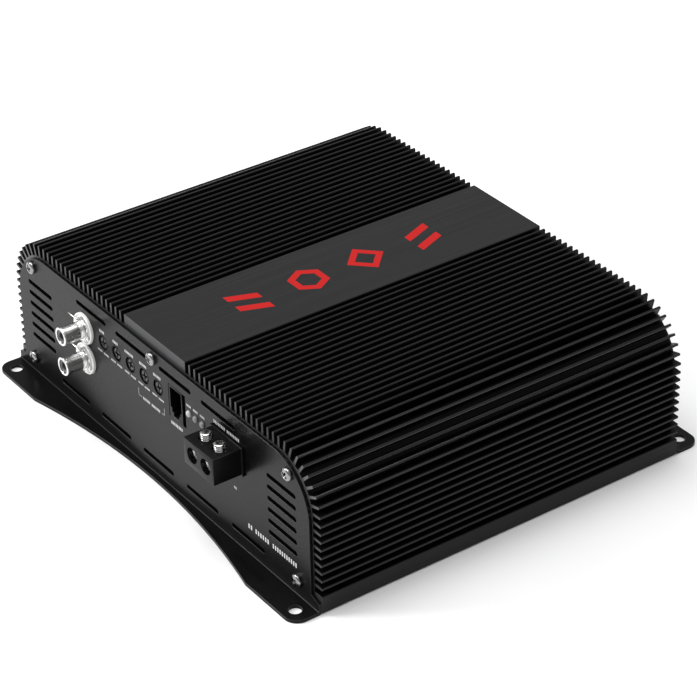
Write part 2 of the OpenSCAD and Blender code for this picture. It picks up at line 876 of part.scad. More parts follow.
heatsink();
front_plate();
rear_plate();
bottom_cover();
cover_screws();
front_plate_screws();
rear_plate_screws();
phono_flanges();
phono_lugs();
phono_nuts();
phono_shells();
phono_inserts();
phono_contacts();
trimmer_bodies();
trimmer_knob_1();
trimmer_knob_2();
trimmer_knob_3();
trimmer_knob_4();
trimmer_knob_5();
remote_jack();
remote_jack_contacts();
status_leds();
speaker_terminal();
speaker_blocks();
speaker_screw_1();
speaker_pad_1();
speaker_screw_2();
speaker_pad_2();
supply_terminal();
supply_blocks();
supply_screw_1();
supply_pad_1();
supply_screw_2();
supply_pad_2();
supply_screw_3();
supply_pad_3();
main_board();
board_screws();
control_board();
transformer_cores();
transformer_windings();
output_choke_core();
output_choke_winding();
supply_capacitors();
rail_capacitors();
film_capacitors();
switch_transistors();
output_transistors();
insulator_strips();
clamp_bars();
clamp_screws();
driver_chips();
bus_tabs();
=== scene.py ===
# %% [markdown]
# # A car amplifier
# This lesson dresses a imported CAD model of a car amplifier: a black finned extrusion between two
# flanged sheet steel plates. The CAD model gives every place and size, and the pieces made here ride
# on its bodies. Everything is in metres, with the socket end facing -Y and +Z up.

import json
from math import cos, floor, pi, radians, sin

import bmesh
import bpy
from mathutils import Matrix, Vector


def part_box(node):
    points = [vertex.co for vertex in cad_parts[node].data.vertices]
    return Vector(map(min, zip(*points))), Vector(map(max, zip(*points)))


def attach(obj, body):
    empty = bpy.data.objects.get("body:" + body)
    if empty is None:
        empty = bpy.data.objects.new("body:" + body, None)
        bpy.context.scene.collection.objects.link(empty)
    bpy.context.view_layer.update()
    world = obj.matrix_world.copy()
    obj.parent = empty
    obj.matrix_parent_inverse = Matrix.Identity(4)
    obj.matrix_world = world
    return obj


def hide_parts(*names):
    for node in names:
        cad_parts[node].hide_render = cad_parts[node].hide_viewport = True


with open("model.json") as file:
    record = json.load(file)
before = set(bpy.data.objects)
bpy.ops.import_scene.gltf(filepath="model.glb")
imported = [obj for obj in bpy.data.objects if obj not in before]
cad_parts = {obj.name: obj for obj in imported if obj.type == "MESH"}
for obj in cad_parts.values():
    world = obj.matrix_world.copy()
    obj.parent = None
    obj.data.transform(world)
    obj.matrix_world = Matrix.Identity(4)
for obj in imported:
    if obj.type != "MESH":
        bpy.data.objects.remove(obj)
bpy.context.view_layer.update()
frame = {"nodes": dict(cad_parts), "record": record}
scene = bpy.context.scene
record = frame["record"]

# %% [markdown]
# ## The camera
# A long lens from the right and above, close to a catalogue view. The camera is placed from its
# direction and its distance to an aim point, so that each of the four numbers means one thing.

# %%
MM = 0.001
AZIMUTH = radians(54.97)
ELEVATION = radians(32.13)
ROLL = radians(-1.08)
AIM = Vector((7.2, 0.0, 32.6)) * MM
DISTANCE = 1125.7 * MM
LENS = 137.9
SENSOR = 36.0

camera_data = bpy.data.cameras.new("camera")
camera_data.lens = LENS
camera_data.sensor_width = SENSOR
camera_data.sensor_fit = "HORIZONTAL"
camera_data.clip_start = 0.05
camera_data.clip_end = 20
camera = bpy.data.objects.new("camera", camera_data)
scene.collection.objects.link(camera)
scene.camera = camera

look = Vector((-sin(AZIMUTH) * cos(ELEVATION), cos(AZIMUTH) * cos(ELEVATION), -sin(ELEVATION)))
level = Vector((cos(AZIMUTH), sin(AZIMUTH), 0))
upright = level.cross(look)
right = level * cos(ROLL) + upright * sin(ROLL)
up = upright * cos(ROLL) - level * sin(ROLL)
turn = Matrix((right, up, -look)).transposed().to_4x4()
camera.matrix_world = Matrix.Translation(AIM - look * DISTANCE) @ turn
print("camera at", [round(c, 3) for c in camera.location])

# %% [markdown]
# ## Shader arithmetic
# A procedural material is a small sum. `Wire` wraps one output socket of a shader node and gives it
# Python's arithmetic signs, so that a mask can be written as a formula. `Graph` makes the nodes.

# %%
class Wire:
    """One output of a shader node. Arithmetic on it adds Math nodes."""

    def __init__(self, graph, socket):
        self.graph = graph
        self.socket = socket

    def math(self, operation, *values):
        return self.graph.node("Math", {"operation": operation}, dict(enumerate(values)))

    def __add__(self, other):
        return self.math("ADD", self, other)

    def __radd__(self, other):
        return self.math("ADD", other, self)

    def __sub__(self, other):
        return self.math("SUBTRACT", self, other)

    def __rsub__(self, other):
        return self.math("SUBTRACT", other, self)

    def __mul__(self, other):
        return self.math("MULTIPLY", self, other)

    def __rmul__(self, other):
        return self.math("MULTIPLY", other, self)

    def __truediv__(self, other):
        return self.math("DIVIDE", self, other)

    def __rtruediv__(self, other):
        return self.math("DIVIDE", other, self)

    def __pow__(self, other):
        return self.math("POWER", self, other)

    def step(self, low, high):
        """0 below low and 1 above high, smooth between them."""
        settings = {"interpolation_type": "SMOOTHSTEP"}
        return self.graph.node("MapRange", settings, {"Value": self, "From Min": low, "From Max": high})

    def part(self, name):
        """Another output of the same node, such as one axis of a vector."""
        return Wire(self.graph, self.socket.node.outputs[name])


class Graph:
    """A material's nodes, around one Principled shader."""

    def __init__(self, name):
        self.material = bpy.data.materials.new(name)
        self.material.use_nodes = True
        self.tree = self.material.node_tree
        self.shader = self.tree.nodes["Principled BSDF"]

    def fill(self, socket, value):
        if isinstance(value, Wire):
            self.tree.links.new(value.socket, socket)
        else:
            socket.default_value = value

    def node(self, kind, settings=None, values=None, output=0):
        made = self.tree.nodes.new("ShaderNode" + kind)
        for name, value in (settings or {}).items():
            setattr(made, name, value)
        for name, value in (values or {}).items():
            self.fill(made.inputs[name], value)
        return Wire(self, made.outputs[output])

    def place(self, stretch=(1, 1, 1)):
        """The surface point in the object's own frame, in millimetres, scaled on each axis."""
        point = self.node("TexCoord", output="Object")
        scale = tuple(1 / MM * s for s in stretch)
        return self.node("VectorMath", {"operation": "MULTIPLY"}, {0: point, 1: scale})

    def noise(self, place, scale=1.0, detail=2.0, rough=0.5):
        values = {"Vector": place, "Scale": scale, "Detail": detail, "Roughness": rough}
        return self.node("TexNoise", {}, values)

    def mix(self, factor, a, b):
        """A colour between a and b."""
        made = self.tree.nodes.new("ShaderNodeMix")
        made.data_type = "RGBA"
        self.fill(made.inputs["Factor"], factor)
        for name, colour in (("A", a), ("B", b)):
            socket = [s for s in made.inputs if s.name == name and s.type == "RGBA"][0]
            self.fill(socket, colour if isinstance(colour, Wire) else (*colour, 1.0))
        return Wire(self, [s for s in made.outputs if s.type == "RGBA"][0])

    def edges(self, radius, sharpness=0.03):
        """About 1 on edges that stick out, from the difference between two normals."""
        round_normal = self.node("Bevel", {"samples": 6}, {"Radius": radius})
        flat_normal = self.node("NewGeometry", output="Normal")
        normals = {0: round_normal, 1: flat_normal}
        dot = self.node("VectorMath", {"operation": "DOT_PRODUCT"}, normals, "Value")
        return (1.0 - dot).step(0.0, sharpness)

    def bump(self, height, strength, distance):
        values = {"Height": height, "Strength": strength, "Distance": distance}
        self.put("Normal", self.node("Bump", {}, values))

    def put(self, name, value):
        self.fill(self.shader.inputs[name], value)

    def colour(self, value):
        self.put("Base Color", value if isinstance(value, Wire) else (*value, 1.0))


print("shader tools ready")

# %% [markdown]
# ## Sizes taken from the CAD model
# The overall box and the plates' boxes give the lengths that the rest follows. The two ends share
# one plate frame: x to the right, y up and z out of the plate, set on each end by a matrix.

# %%
def box_mm(node):
    """A CAD node's lowest and highest corner in millimetres."""
    return [Vector(corner_glint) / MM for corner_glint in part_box(node)]


sink_high = box_mm("heatsink")[1]
END = sink_high.y
HALF = sink_high.x
TOP = sink_high.z
FACE = -box_mm("remote_jack")[0].y
SHEET = FACE - END
CORNER_R = 26.0
PLATEAU = 22.9
plate_low, plate_high = box_mm("front_plate")
FLANGE = -plate_low.y - FACE
PLATE_TOP = plate_high.z
FRONT = Matrix.Translation((0, -FACE, 0)) @ Matrix.Rotation(pi / 2, 4, "X")
REAR = Matrix.Rotation(pi, 4, "Z") @ FRONT
print("plate face at", round(FACE, 2), "mm, sheet", round(SHEET, 2), "mm, flange", round(FLANGE, 2), "mm")

# %% [markdown]
# ## The black finishes
# The extrusion is anodised over brushed metal, so its grain runs lengthwise: noise stretched far
# along Y. The end plates have a satin powder coat, an even orange peel with a few dust specks.
# Both are painted a little lighter along their edges: some wear, and a painted highlight where
# the edges catch the light. The flat band on top is brushed brighter, and the sawn ends of the fins
# show some bare metal; on the fins round the corner the sawn ends carry a painted glint as well.

# %%
def anodised():
    graph = Graph("anodised_extrusion")
    grain = graph.noise(graph.place((5.0, 0.03, 5.0)), detail=4, rough=0.6)
    streak = graph.noise(graph.place((2.2, 0.008, 2.2)), detail=3).step(0.3, 0.7)
    brushed = graph.noise(graph.place((3.2, 0.015, 3.2)), detail=4, rough=0.65).step(0.32, 0.68)
    cloud = graph.noise(graph.place((0.02, 0.02, 0.02)), detail=3)
    point = graph.node("SeparateXYZ", values={"Vector": graph.place()})
    side = point.math("ABSOLUTE", point)
    across = side - (HALF - CORNER_R)
    across = across.math("MAXIMUM", across, 0.0)
    above = point.part("Z") - (TOP - CORNER_R)
    above = above.math("MAXIMUM", above, 0.0)
    tip = ((across * across + above * above) ** 0.5).step(CORNER_R - 0.5, CORNER_R - 0.25)
    # Mask of the fins round the corner, whose sawn ends get a painted glint.
    corner_glint = across.step(7.0, 14.0) * above.step(3.0, 11.0)
    flat_top = (1.0 - side.step(PLATEAU, PLATEAU + 0.2)) * point.part("Z").step(TOP - 0.5, TOP - 0.3)
    sawn = point.math("ABSOLUTE", point.part("Y")).step(END - 0.1, END - 0.05)
    saw_marks = graph.noise(graph.place((0.4, 1.0, 6.0)), detail=3)
    # Edges painted lighter: a little wear and a painted highlight.
    edge_wear_and_highlight = graph.edges(0.25 * MM)
    tone = graph.mix(streak * 0.7 + cloud * 0.3, (0.0008, 0.0008, 0.0009), (0.0055, 0.0055, 0.006))
    tone = graph.mix(flat_top, tone, graph.mix(brushed, (0.009, 0.009, 0.009), (0.016, 0.016, 0.0165)))
    tone = graph.mix(edge_wear_and_highlight * 0.4, tone, (0.03, 0.03, 0.031))
    cut_end = graph.mix(saw_marks, (0.035, 0.035, 0.037), (0.07, 0.07, 0.073))
    # Painted glint: the sawn ends of the corner fins are painted brighter.
    cut_end = graph.mix(corner_glint, cut_end, (0.10, 0.10, 0.102))
    graph.colour(graph.mix(sawn, tone, cut_end))
    graph.put("Metallic", sawn * 0.5)
    graph.put("Roughness", grain * 0.16 + cloud * 0.06 + flat_top * brushed * 0.05 + 0.22)
    graph.put("Specular IOR Level", 0.1)
    graph.put("Coat Weight", tip * (corner_glint * 0.5 + 0.26))
    graph.put("Coat Roughness", 0.24)
    graph.bump(grain * 0.5 + streak, 0.35, 0.02 * MM)
    return graph.material


def powder_coat(name="powder_coat", low=(0.0015, 0.0015, 0.0017), high=(0.003, 0.003, 0.0033), rough=0.29):
    graph = Graph(name)
    peel = graph.noise(graph.place(), scale=1.6, detail=3)
    cloud = graph.noise(graph.place(), scale=0.03, detail=3)
    speck = graph.noise(graph.place(), scale=1.1, detail=1).step(0.70, 0.76)
    # Edges painted lighter: a little wear and a painted highlight along the rim.
    edge_wear_and_highlight = graph.edges(0.3 * MM)
    tone = graph.mix(cloud, low, high)
    tone = graph.mix(speck * 0.08, tone, (0.03, 0.03, 0.03))
    graph.colour(graph.mix(edge_wear_and_highlight * 0.5, tone, (0.06, 0.06, 0.06)))
    graph.put("Roughness", peel * 0.10 + cloud * 0.06 + rough - 0.08)
    graph.put("Specular IOR Level", 0.14)
    graph.bump(peel, 0.12, 0.02 * MM)
    return graph.material


def plastic(name, low, high, rough=0.45, grain=2.5, depth=0.02, edge_wear_and_highlight_tone=None, shine=0.5):
    """Moulded plastic: a spark-eroded texture. With an edge tone given, the edges are painted lighter: polish
    where it is touched, and a painted highlight.
    """
    graph = Graph(name)
    texture = graph.noise(graph.place(), scale=grain, detail=3)
    cloud = graph.noise(graph.place(), scale=0.12, detail=2)
    tone = graph.mix(cloud, low, high)
    # Edges painted lighter: some polish from handling and a painted highlight.
    if edge_wear_and_highlight_tone:
        tone = graph.mix(graph.edges(0.2 * MM) * 0.5, tone, edge_wear_and_highlight_tone)
    graph.colour(tone)
    graph.put("Roughness", texture * 0.12 + cloud * 0.08 + rough - 0.1)
    graph.put("Specular IOR Level", shine)
    graph.bump(texture, 0.3, depth * MM)
    return graph.material


def plated(name, low, high, rough=0.16, turning=0.0, dirt=0.3, metal=1.0):
    """Plated metal, with fine turning marks and a little dirt in patches."""
    graph = Graph(name)
    scuff = graph.noise(graph.place(), scale=1.3, detail=4, rough=0.6)
    cloud = graph.noise(graph.place(), scale=0.35, detail=2)
    rings = graph.noise(graph.place((0.4, 14.0, 0.4)), detail=2)
    tone = graph.mix(cloud, low, high)
    graph.colour(graph.mix(scuff.step(0.62, 0.8) * dirt, tone, (0.25, 0.24, 0.22)))
    graph.put("Metallic", metal)
    graph.put("Roughness", scuff * 0.12 + rings * turning + rough - 0.04)
    graph.bump(rings * 0.8 + scuff * 0.2, 0.06, 0.01 * MM)
    return graph.material


def printed(name, low, high):
    """Screen ink: a dense colour with a slightly uneven lay."""
    graph = Graph(name)
    lay = graph.noise(graph.place(), scale=3.0, detail=3)
    graph.colour(graph.mix(lay, low, high))
    graph.put("Roughness", lay * 0.15 + 0.42)
    graph.put("Specular IOR Level", 0.15)
    graph.bump(lay, 0.1, 0.01 * MM)
    return graph.material


def frosted_lens(name, dull, bright, border):
    """A row of frosted lenses. The one left of the border, in millimetres, is the brightest."""
    graph = Graph(name)
    cloud = graph.noise(graph.place(), scale=0.9, detail=3)
    across = graph.node("SeparateXYZ", values={"Vector": graph.place()})
    dim = across.step(border - 0.5, border + 0.5)
    graph.colour(graph.mix(dim * 0.75 + cloud * 0.25, bright, dull))
    graph.put("Roughness", cloud * 0.2 + 0.3)
    graph.bump(cloud, 0.2, 0.03 * MM)
    return graph.material


LOOKS = {
    "anodised_extrusion": anodised(),
    "painted_sheet": powder_coat(),
    "black_screw": powder_coat("black_screw", (0.01, 0.01, 0.011), (0.02, 0.02, 0.021), 0.36),
    "plated_screw": plated("plated_screw", (0.22, 0.22, 0.22), (0.36, 0.36, 0.355), 0.13),
    "nickel": plated("nickel", (0.72, 0.72, 0.71), (0.86, 0.86, 0.85), 0.2, 0.05, 0.05),
    "satin_nickel": plated("satin_nickel", (0.86, 0.86, 0.85), (0.92, 0.92, 0.91), 0.36, 0.05, 0.0, 0.25),
    "clamp_steel": plated("clamp_steel", (0.52, 0.52, 0.51), (0.70, 0.70, 0.69), 0.13),
    "gold_contact": plated("gold_contact", (0.75, 0.55, 0.24), (0.85, 0.66, 0.33), 0.2),
    "copper_strip": plated("copper_strip", (0.60, 0.58, 0.55), (0.72, 0.70, 0.66), 0.3),
    "spring_steel": plated("spring_steel", (0.45, 0.45, 0.46), (0.55, 0.55, 0.56), 0.35),
    "black_nylon": plastic("black_nylon", (0.002, 0.002, 0.0022), (0.004, 0.004, 0.0043), 0.3,
                           edge_wear_and_highlight_tone=(0.012, 0.012, 0.012), shine=0.12),
    "knob_plastic": plastic("knob_plastic", (0.012, 0.012, 0.0125), (0.022, 0.022, 0.0225), 0.26),
    "grey_nylon": plastic("grey_nylon", (0.045, 0.045, 0.047), (0.07, 0.07, 0.072), 0.4),
    "blue_plastic": plastic("blue_plastic", (0.02, 0.06, 0.2), (0.03, 0.09, 0.26), 0.35),
    "board_laminate": plastic("board_laminate", (0.010, 0.07, 0.025), (0.016, 0.10, 0.04), 0.35, 0.8),
    "ferrite": plastic("ferrite", (0.03, 0.03, 0.032), (0.05, 0.05, 0.052), 0.6, 4.0),
    "enamelled_copper": plastic("enamelled_copper", (0.32, 0.10, 0.03), (0.45, 0.16, 0.05), 0.3, 1.2, 0.08),
    "can_sleeve": plastic("can_sleeve", (0.012, 0.012, 0.03), (0.018, 0.018, 0.045), 0.28),
    "film_red": plastic("film_red", (0.25, 0.03, 0.02), (0.33, 0.05, 0.03), 0.4),
    "moulded_epoxy": plastic("moulded_epoxy", (0.014, 0.014, 0.015), (0.022, 0.022, 0.023), 0.55, 4.0),
    "silicone_pad": plastic("silicone_pad", (0.30, 0.30, 0.31), (0.36, 0.36, 0.37), 0.6),
    "led_lens": frosted_lens("led_lens", (0.12, 0.12, 0.12), (0.45, 0.45, 0.45), 29.0),
    "white_ink": printed("white_ink", (0.55, 0.55, 0.55), (0.68, 0.68, 0.68)),
    "grey_ink": printed("grey_ink", (0.26, 0.26, 0.26), (0.34, 0.34, 0.34)),
    "red_ink": printed("red_ink", (0.36, 0.006, 0.006), (0.44, 0.010, 0.009)),
}
for part in record["subparts"]:
    node = frame["nodes"][part["node"]]
    node.data.materials.clear()
    node.data.materials.append(LOOKS[part["material_slot"]])
print("materials:", len(LOOKS))

# %% [markdown]
# ## Making pieces
# `piece` turns mesh data into an object that rides on a CAD body, hides the nodes that it stands
# for, and takes its finish by name from the table of looks above. Shapes are made in millimetres, the unit
# that such parts are drawn in, and `piece` brings them to metres. Flat cut parts come from filled curves,
# because a curve with a bevel rounds the rim of every hole by itself. Round parts are turned
# from a profile, as on a lathe.

# %%
def piece(name, mesh, look, body="body", replaces=(), sharp=35):
    """One finished object on a CAD body. The mesh comes in millimetres."""
    mesh.transform(Matrix.Scale(MM, 4))
    made = bpy.data.objects.new(name, mesh)
    scene.collection.objects.link(made)
    mesh.materials.clear()
    mesh.materials.append(LOOKS[look])
    mesh.polygons.foreach_set("use_smooth", [True] * len(mesh.polygons))
    mesh.set_sharp_from_angle(angle=radians(sharp))
    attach(made, body)
    if replaces:
        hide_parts(*replaces)
    return made


def mesh_of(name, *parts):
    """One mesh from several bmeshes."""
    whole = bmesh.new()
    for part in parts:
        spare = bpy.data.meshes.new("spare")
        part.to_mesh(spare)
        part.free()
        whole.from_mesh(spare)
        bpy.data.meshes.remove(spare)
    mesh = bpy.data.meshes.new(name)
    whole.to_mesh(mesh)
    whole.free()
    return mesh


def cut_sheet(loops, thickness, bevel, smooth=1):
    """A flat part in XY from z = 0 to its thickness. The first loop is the outline, the others are holes."""
    curve = bpy.data.curves.new("spare", "CURVE")
    curve.dimensions = "2D"
    curve.fill_mode = "BOTH"
    curve.extrude = thickness / 2 - bevel
    curve.bevel_depth = bevel
    curve.bevel_resolution = smooth
    curve.offset = -bevel
    for loop in loops:
        spline = curve.splines.new("POLY")
        spline.points.add(len(loop) - 1)
        for point, (x, y) in zip(spline.points, loop):
            point.co = (x, y, 0, 1)
        spline.use_cyclic_u = True
    holder = bpy.data.objects.new("spare", curve)
    scene.collection.objects.link(holder)
    ready = holder.evaluated_get(bpy.context.evaluated_depsgraph_get())
    flat = bpy.data.meshes.new_from_object(ready)
    shape = bmesh.new()
    shape.from_mesh(flat)
    bmesh.ops.remove_doubles(shape, verts=shape.verts, dist=1e-4)
    bmesh.ops.translate(shape, verts=shape.verts, vec=(0, 0, thickness / 2))
    bpy.data.objects.remove(holder)
    bpy.data.curves.remove(curve)
    bpy.data.meshes.remove(flat)
    return shape


def circle(x, y, r, count=32, start=0.0):
    angles = [start + i * 2 * pi / count for i in range(count)]
    return [(x + r * cos(a), y + r * sin(a)) for a in angles]


def slot_loop(x0, x1, y, width, count=8):
    """A slot with round ends."""
    r = width / 2
    right_end = [(x1 - r + r * sin(pi * i / count), y + r * cos(pi * i / count)) for i in range(count + 1)]
    left_end = [(x0 + r - r * sin(pi * i / count), y - r * cos(pi * i / count)) for i in range(count + 1)]
    return right_end + left_end


def box_loop(x0, x1, y0, y1, r=0.0, count=4):
    """A rectangle, with round corners if r is given."""
    if not r:
        return [(x0, y0), (x1, y0), (x1, y1), (x0, y1)]
    loop = []
    for i, (cx, cy) in enumerate([(x1 - r, y1 - r), (x0 + r, y1 - r), (x0 + r, y0 + r), (x1 - r, y0 + r)]):
        loop += [
            (cx + r * cos(pi / 2 * (i + j / count)), cy + r * sin(pi / 2 * (i + j / count)))
            for j in range(count + 1)
        ]
    return loop


def turned(profile, count=48, wave=None):
    """A solid of revolution about Z from (radius, height) points. Radius 0 closes an end."""
    shape = bmesh.new()
    rings = []
    for r, z in profile:
        if r == 0:
            rings.append([shape.verts.new((0, 0, z))] * count)
            continue
        ring = []
        for i in range(count):
            angle = i * 2 * pi / count
            spread = r + (wave(angle, r, z) if wave else 0)
            ring.append(shape.verts.new((spread * cos(angle), spread * sin(angle), z)))
        rings.append(ring)
    for low, high in zip(rings, rings[1:]):
        for i in range(count):
            j = (i + 1) % count
            corners = [low[i], low[j], high[j], high[i]]
            distinct = list(dict.fromkeys(corners))
            if len(distinct) > 2:
                shape.faces.new(distinct)
    bmesh.ops.remove_doubles(shape, verts=shape.verts, dist=1e-4)
    bmesh.ops.recalc_face_normals(shape, faces=shape.faces)
    return shape


def block(x0, x1, y0, y1, z0, z1, bevel=0.0, segments=2):
    """A box with rounded edges."""
    shape = bmesh.new()
    bmesh.ops.create_cube(shape, size=1)
    for vert in shape.verts:
        vert.co = (
            (x0 + x1) / 2 + vert.co.x * (x1 - x0),
            (y0 + y1) / 2 + vert.co.y * (y1 - y0),
            (z0 + z1) / 2 + vert.co.z * (z1 - z0),
        )
    if bevel:
        settings = {"offset": bevel, "segments": segments, "affect": "EDGES", "profile": 0.5}
        bmesh.ops.bevel(shape, geom=shape.edges[:], **settings)
    return shape


def moved(shape, matrix):
    bmesh.ops.transform(shape, matrix=matrix, verts=shape.verts)
    return shape


def boolean(operation, *groups):
    """Two groups of closed solids, joined, or the first less the second. Cutters may overlap."""
    solids = []
    for group in groups:
        holder = bpy.data.objects.new("spare", mesh_of("spare", *group))
        scene.collection.objects.link(holder)
        solids.append(holder)
    change = solids[0].modifiers.new("change", "BOOLEAN")
    change.operation = operation
    change.solver = "EXACT"
    change.use_self = operation == "DIFFERENCE"
    change.object = solids[1]
    ready = solids[0].evaluated_get(bpy.context.evaluated_depsgraph_get())
    result = bmesh.new()
    result.from_mesh(ready.to_mesh())
    for holder in solids:
        mesh = holder.data
        bpy.data.objects.remove(holder)
        bpy.data.meshes.remove(mesh)
    return result


def cut_away(shape, *tools):
    return boolean("DIFFERENCE", [shape], tools)


def joined(shape, *others):
    for other in others:
        shape = boolean("UNION", [shape], [other])
    return shape


print("piece tools ready")

# %% [markdown]
# ## The finned extrusion
# An extrusion is one outline pushed through a die. The fins stand square to a reference line that
# runs along the top, round the corner and down the side, evenly spaced on it, so those in the corner
# fan out. Each tip has a small chamfer, which catches the light along its whole length.

# %%
FIN_H = 5.2
PITCH = 3.66
PITCH_IN = 4.0
PITCH_R = CORNER_R - PITCH_IN
FLOOR_R = CORNER_R - FIN_H
ROOT_HALF = 0.7
TIP_HALF = 0.58
TIP_FLAT = 0.34
TIP_CUT = 0.24
WALL = 3.2
INK = 0.02
RAIL_TOP = 8.0
RAIL_LOW = 0.6
LEDGE_OUT = 104.0
LEDGE_IN = 96.5
LEDGE_LOW = 2.0
LEDGE_TOP = 13.0
FIRST_GAP = 3.1
LAST_GAP = 2.6
EDGE = 0.12
CX = HALF - CORNER_R
CZ = TOP - CORNER_R
SIDE_START = CX + PITCH_R * pi / 2
FIN_FIRST = PLATEAU + FIRST_GAP
FINS = floor((SIDE_START + CZ - RAIL_TOP - LAST_GAP - FIN_FIRST) / PITCH) + 1


def along(s, r):
    """A point at radius r about the corner's centre, and the direction along the reference line."""
    angle = min(max(s - CX, 0) / PITCH_R, pi / 2)
    ahead = (cos(angle), -sin(angle))
    point = (CX + r * sin(angle), CZ + r * cos(angle))
    extra = s - CX if s < CX else max(s - SIDE_START, 0)
    return (point[0] + ahead[0] * extra, point[1] + ahead[1] * extra), ahead


def fin(s):
    """One fin's outline, square to the reference line at length s."""
    steps = [(FLOOR_R, -ROOT_HALF), (CORNER_R - TIP_CUT, -TIP_HALF), (CORNER_R, -TIP_FLAT)]
    loop = []
    for r, offset in steps + [(r, -offset) for r, offset in reversed(steps)]:
        (x, z), (ax, az) = along(s, r)
        loop.append((x + ax * offset, z + az * offset))
    return loop


def sink_half():
    """The right half of the outline, from the plateau round the fins to the rail and back inside."""
    lip = 0.3
    loop = [(PLATEAU - lip, TOP - INK), (PLATEAU, TOP - INK - lip), (PLATEAU, CZ + FLOOR_R)]
    for i in range(FINS):
        loop += fin(FIN_FIRST + i * PITCH)
    side = CX + FLOOR_R
    loop += [(side, RAIL_TOP), (HALF - lip, RAIL_TOP), (HALF, RAIL_TOP - lip), (HALF, RAIL_LOW)]
    loop += [(LEDGE_OUT, RAIL_LOW), (LEDGE_OUT, LEDGE_LOW), (LEDGE_IN, LEDGE_LOW)]
    loop += [(LEDGE_IN, LEDGE_TOP), (side - WALL, LEDGE_TOP)]
    inner = FLOOR_R - WALL
    loop += [(CX + inner * cos(a * pi / 24), CZ + inner * sin(a * pi / 24)) for a in range(13)]
    return loop


right_side = sink_half()
section = right_side + [(-x, z) for x, z in reversed(right_side)]
extrusion = cut_sheet([section], 2 * END, EDGE)
stand = Matrix.Translation((0, END, 0)) @ Matrix.Rotation(pi / 2, 4, "X")
moved(extrusion, stand)
sink_mesh = mesh_of("heatsink_fins", extrusion)
sink = piece("heatsink_fins", sink_mesh, "anodised_extrusion", replaces=["heatsink"], sharp=12)
print("fins on each side:", FINS, "faces:", len(sink.data.polygons))

# %% [markdown]
# ## The end plates
# Each plate is cut flat, holes and all, and then bent, as in a real press. The flat pattern is cut
# across the bend line a few times, so that it can follow the curve.

# %%
BEND_R = 0.6
BEND_LONG = pi / 2 * (BEND_R + SHEET / 2)
BEND_STEPS = 12
PLATE_HALF = HALF - 5.4
PLATE_R = 23.0
FLANGE_R = 6.0
WAIST = 2.8
WAIST_X = 82.0
FLARE_TOP = 6.8
FLARE_LOW = 4.9
BOLT_X = 107.8
BOLT_OUT = 6.3
BOLT_R = 2.75
SLOT_W = 2.2
SCREWS = [(-96.5, 56.0), (96.5, 56.0), (0.0, 58.7), (-101.0, 8.6), (101.0, 8.6)]
SHANK_R = 1.7
SIDE_VENT = (81.4, 101.0)
SIDE_VENT_TOP = 47.4
SIDE_VENT_PITCH = 5.36
TOP_VENTS = ((5.0, 28.4), (36.0, 59.8))
TOP_VENT_Z = 56.8
LOW_VENT_Z = 8.4
LOW_VENT_PITCH = 33.2
LOW_VENT_HALF = 11.7


def unfolded(height):
    """Place on the flat pattern of a point at this height on the upright plate."""
    return height - SHEET - BEND_R + BEND_LONG


def waist(x):
    return WAIST + (FLANGE - WAIST) * (x / WAIST_X) ** 2


def plate_outline():
    half = [(x, BEND_R - waist(x)) for x in [WAIST_X * i / 16 for i in range(17)]]
    reach = BEND_R - FLANGE
    half += [
        (HALF - FLANGE_R + FLANGE_R * sin(a * pi / 16), reach + FLANGE_R - FLANGE_R * cos(a * pi / 16))
        for a in range(9)
    ]
    half += [(HALF, unfolded(FLARE_LOW)), (PLATE_HALF, unfolded(FLARE_TOP))]
    top = unfolded(PLATE_TOP)
    half += [
        (PLATE_HALF - PLATE_R + PLATE_R * cos(a * pi / 32), top - PLATE_R + PLATE_R * sin(a * pi / 32))
        for a in range(17)
    ]
    return half + [(-x, v) for x, v in reversed(half[1:])]


def vent(x0, x1, z):
    return slot_loop(min(x0, x1), max(x0, x1), unfolded(z), SLOT_W)


def vent_loops():
    """The vents, foot holes and screw holes that both plates share."""
    loops = []
    for side in (-1, 1):
        for i in range(6):
            loops.append(vent(side * SIDE_VENT[0], side * SIDE_VENT[1], SIDE_VENT_TOP - i * SIDE_VENT_PITCH))
        for near, far in TOP_VENTS:
            loops.append(vent(side * near, side * far, TOP_VENT_Z))
        loops.append(circle(side * BOLT_X, BEND_R - BOLT_OUT, BOLT_R, 40))
    for i in range(-2, 3):
        middle = i * LOW_VENT_PITCH
        loops.append(vent(middle - LOW_VENT_HALF, middle + LOW_VENT_HALF, LOW_VENT_Z))
    for x, z in SCREWS:
        loops.append(circle(x, unfolded(z), SHANK_R, 16))
    return loops


def folded(shape):
    """Bends a flat pattern into the plate frame: x right, y up, z out of the plate."""
    for i in range(BEND_STEPS + 1):
        line = BEND_LONG * i / BEND_STEPS
        everything = shape.verts[:] + shape.edges[:] + shape.faces[:]
        bmesh.ops.bisect_plane(shape, geom=everything, dist=1e-5, plane_co=(0, line, 0), plane_no=(0, 1, 0))
    for vert in shape.verts:
        x, v, w = vert.co
        depth = SHEET - w
        angle = min(max(v / BEND_LONG, 0), 1) * pi / 2
        out = BEND_R - (BEND_R + depth) * sin(angle) + max(-v, 0)
        height = SHEET + BEND_R - (BEND_R + depth) * cos(angle) + max(v - BEND_LONG, 0)
        vert.co = (x, height, out)
    return shape


def end_plate(name, windows, frame_matrix, node):
    shape = folded(cut_sheet([plate_outline()] + vent_loops() + windows, SHEET, 0.14, 2))
    moved(shape, frame_matrix)
    bmesh.ops.recalc_face_normals(shape, faces=shape.faces)
    return piece(name, mesh_of(name, shape), "painted_sheet", replaces=[node], sharp=8)


def window(x0, x1, z0, z1, r=0.3):
    return box_loop(x0, x1, unfolded(z0), unfolded(z1), r)


def socket_window(low, high):
    return window(low.x + RIM, high.x - RIM, low.z + RIM, high.z - RIM)


